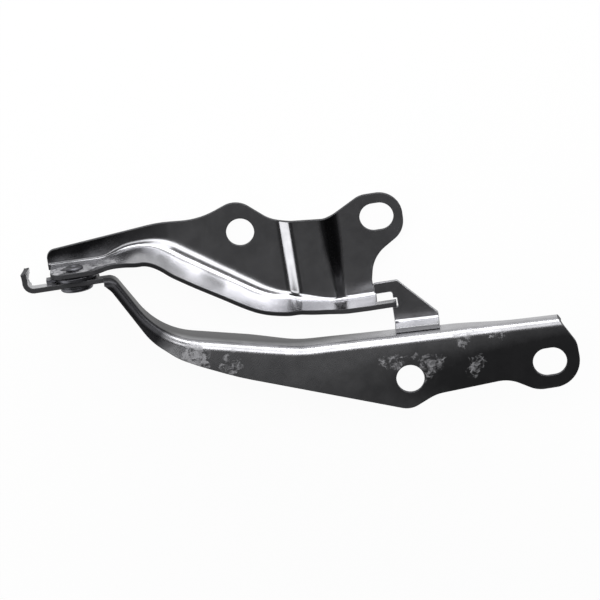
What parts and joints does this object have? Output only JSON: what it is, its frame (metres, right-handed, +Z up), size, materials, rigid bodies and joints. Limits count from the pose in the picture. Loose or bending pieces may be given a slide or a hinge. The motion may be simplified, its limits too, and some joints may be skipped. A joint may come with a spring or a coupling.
{
  "type": "bonnet hinge",
  "caption": "Pressed and plated steel bonnet hinge: body bracket and swan-necked bonnet arm on a riveted pivot, with a welded catch hook and an opening stop.",
  "frame": {"origin": "on the bracket's flat bolting face, 4 mm outside the edge of its round bolt hole, towards the web", "axes": "+Z up, out of the body bracket's flange, so -Z points into the car body that it is bolted to; +X along the hinge from the pivot towards the bonnet's front; the pivot's axis lies along Y; rest pose is the shut hinge"},
  "size_m": [0.2696, 0.1093, 0.0444],
  "materials": {
    "bracket_plate": "zinc plated and black passivated, glossy",
    "arm_plate": "zinc plated and black passivated, glossy, with handling scuffs",
    "catch_plate": "zinc plated and black passivated, satin",
    "rivet_steel": "phosphated and oiled, dark satin",
    "spacer_steel": "phosphated and oiled, dark satin",
    "washer_steel": "phosphated and oiled, dark satin",
    "bush_bronze": "dull, hidden"
  },
  "bodies": {
    "bracket": {"body_bracket": "bracket_plate", "pivot_rivet": "rivet_steel", "spacer_disc": "spacer_steel", "head_washer": "washer_steel"},
    "arm": {"hood_arm": "arm_plate", "catch_hook": "catch_plate", "pivot_bush": "bush_bronze"}
  },
  "joints": [
    {"name": "bonnet_opening", "type": "hinge", "parent": "bracket", "child": "arm", "pos_m": [-0.0843, 0.0033, 0.014], "axis": [0, -1, 0], "range_deg": [0, 44]}
  ]
}
